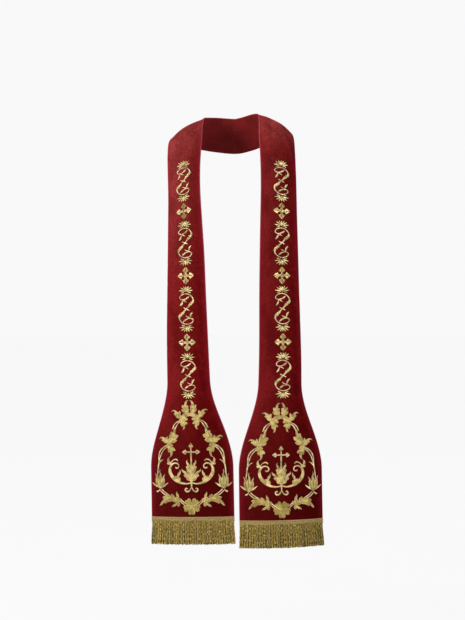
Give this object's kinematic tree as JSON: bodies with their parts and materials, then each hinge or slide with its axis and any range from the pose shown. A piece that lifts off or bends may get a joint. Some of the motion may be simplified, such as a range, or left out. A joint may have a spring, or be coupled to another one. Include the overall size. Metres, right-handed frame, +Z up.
{
  "type": "clerical stole",
  "caption": "Roman-cut clerical stole in embroidered velvet with flared, bullion-fringed ends, in the hollow form it takes when worn.",
  "frame": {"origin": "the nape: the top edge of the cloth at the middle of the back of the neck, on the wearer's side", "axes": "+Z up, the wearer faces -Y, the wearer's right half lies at -X and the left half at +X"},
  "size_m": [0.4707, 0.3388, 1.2084],
  "materials": {
    "velvet": "cut-pile velvet, soft sheen, plain weave on the wearer's side",
    "braid": "ribbed gold-coloured braid",
    "bullion": "twisted gold-coloured cord, satin lustre",
    "gold_thread": "satin-stitched gold-coloured thread"
  },
  "bodies": {
    "root": {"panel_right": "velvet", "panel_left": "velvet", "heading_right": "braid", "heading_left": "braid", "fringe_right": "bullion", "fringe_left": "bullion"}
  },
  "joints": []
}
